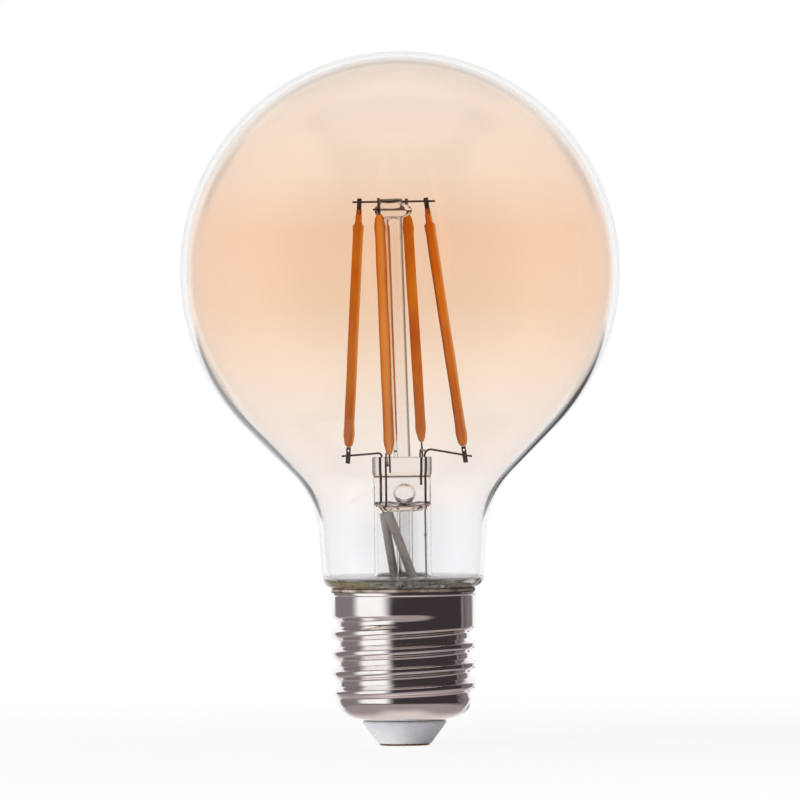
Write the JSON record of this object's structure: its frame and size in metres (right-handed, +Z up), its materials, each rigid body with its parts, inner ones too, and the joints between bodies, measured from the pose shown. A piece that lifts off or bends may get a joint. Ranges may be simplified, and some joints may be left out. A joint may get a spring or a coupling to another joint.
{
  "type": "led light bulb",
  "caption": "Clear amber-tinted globe bulb with upright filaments on a glass stem and a threaded metal screw cap.",
  "frame": {"origin": "centre of the underside of the bottom contact, on the bulb's axis", "axes": "+Z up the bulb's axis from the cap to the globe, -Y towards the viewer of the picture, +X to its right"},
  "size_m": [0.08, 0.08, 0.1261],
  "materials": {
    "globe_glass": "blown clear glass with a pale amber tint",
    "stem_glass": "clear drawn and pressed glass",
    "cap_nickel": "nickel-plated rolled sheet",
    "insulator_white": "white moulded insulator",
    "contact_brass": "stamped and riveted contact",
    "cement": "baked cap cement",
    "phosphor": "amber phosphor in silicone",
    "terminal_metal": "stamped tag",
    "lead_metal": "drawn nickel wire",
    "sleeve_fibre": "woven glass fibre sleeve",
    "board_laminate": "glass-fibre laminate with solder mask",
    "package_black": "moulded epoxy package",
    "choke_ferrite": "ferrite drum",
    "capacitor_sleeve": "shrink sleeve on an aluminium can",
    "resistor_body": "flameproof coating",
    "tinned_wire": "tinned copper wire"
  },
  "bodies": {
    "root": {"arm_rear": "lead_metal", "bridge_rectifier": "package_black", "cap_cement": "cement", "centre_contact": "contact_brass", "choke": "choke_ferrite", "driver_board": "board_laminate", "driver_chip": "package_black", "exhaust_tube": "stem_glass", "filament_1": "phosphor", "filament_1_terminals": "terminal_metal", "filament_2": "phosphor", "filament_2_terminals": "terminal_metal", "filament_3": "phosphor", "filament_3_terminals": "terminal_metal", "filament_4": "phosphor", "filament_4_terminals": "terminal_metal", "fuse_resistor": "resistor_body", "glass_globe": "globe_glass", "insulator": "insulator_white", "lead_front": "lead_metal", "lead_left": "lead_metal", "lead_right": "lead_metal", "live_wire": "tinned_wire", "neutral_wire": "tinned_wire", "screw_shell": "cap_nickel", "sleeve_front": "sleeve_fibre", "sleeve_rear": "sleeve_fibre", "smoothing_capacitor": "capacitor_sleeve", "stem_flare": "stem_glass", "stem_post": "stem_glass", "top_wire_inner": "lead_metal", "top_wire_outer": "lead_metal"}
  },
  "joints": []
}
